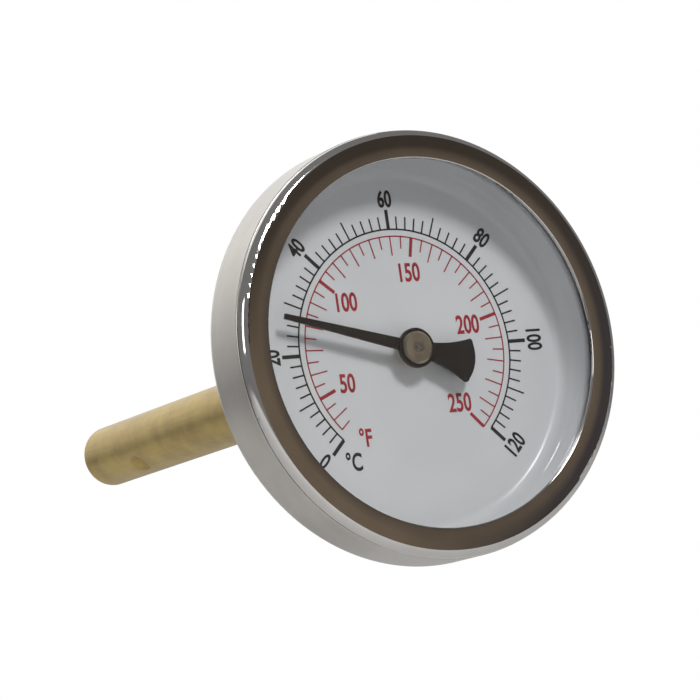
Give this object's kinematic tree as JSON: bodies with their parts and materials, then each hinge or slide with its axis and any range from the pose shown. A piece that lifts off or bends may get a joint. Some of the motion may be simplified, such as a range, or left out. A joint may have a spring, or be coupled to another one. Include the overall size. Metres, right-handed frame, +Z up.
{
  "type": "bimetal dial thermometer",
  "caption": "Round dial thermometer with a shallow metal case, polished bezel, clear window, Celsius and Fahrenheit scales, a pointer and a plain rear stem.",
  "frame": {"origin": "on the stem's axis, where the stem reaches its full diameter, 0.6 mm clear of its socket", "axes": "+Y along the stem towards its tip, -Y out of the dial, +Z up on the dial, +X to the dial reader's right"},
  "size_m": [0.0632, 0.1097, 0.0632],
  "materials": {
    "case_steel": "satin stainless steel sheet",
    "bezel_steel": "polished",
    "gasket_rubber": "matt",
    "window_glass": "clear",
    "dial_enamel": "satin white enamel",
    "support_plastic": "matt",
    "turned_brass": "turned",
    "seal_fibre": "matt red fibre",
    "plated_steel": "bright zinc plate",
    "stem_brass": "satin, slightly mottled",
    "bimetal_strip": "rolled",
    "spindle_steel": "drawn",
    "pointer_black": "satin black paint",
    "nickel_cap": "bright nickel plate"
  },
  "bodies": {
    "housing": {"case_cup": "case_steel", "bezel_ring": "bezel_steel", "window_gasket": "gasket_rubber", "window_glass": "window_glass", "dial_pan": "dial_enamel", "dial_support": "support_plastic", "stem_socket": "turned_brass", "socket_seal": "seal_fibre", "lock_washer": "plated_steel", "lock_nut": "plated_steel", "stem_tube": "stem_brass", "upper_bearing": "turned_brass", "middle_guide": "turned_brass", "lower_guide": "turned_brass", "bimetal_helix": "bimetal_strip", "anchor_plug": "turned_brass"},
    "pointer": {"pointer": "pointer_black", "hub_cap": "nickel_cap", "pointer_bush": "turned_brass", "spindle": "spindle_steel", "thrust_collar": "turned_brass", "helix_collar": "turned_brass"}
  },
  "joints": [
    {"name": "pointer_turn", "type": "hinge", "parent": "housing", "child": "pointer", "pos_m": [0, 0, 0], "axis": [0, 1, 0], "range_deg": [-60.75, 209.25], "stiffness_Nm_per_rad": 0.0005, "deforming": ["bimetal_helix"]}
  ]
}
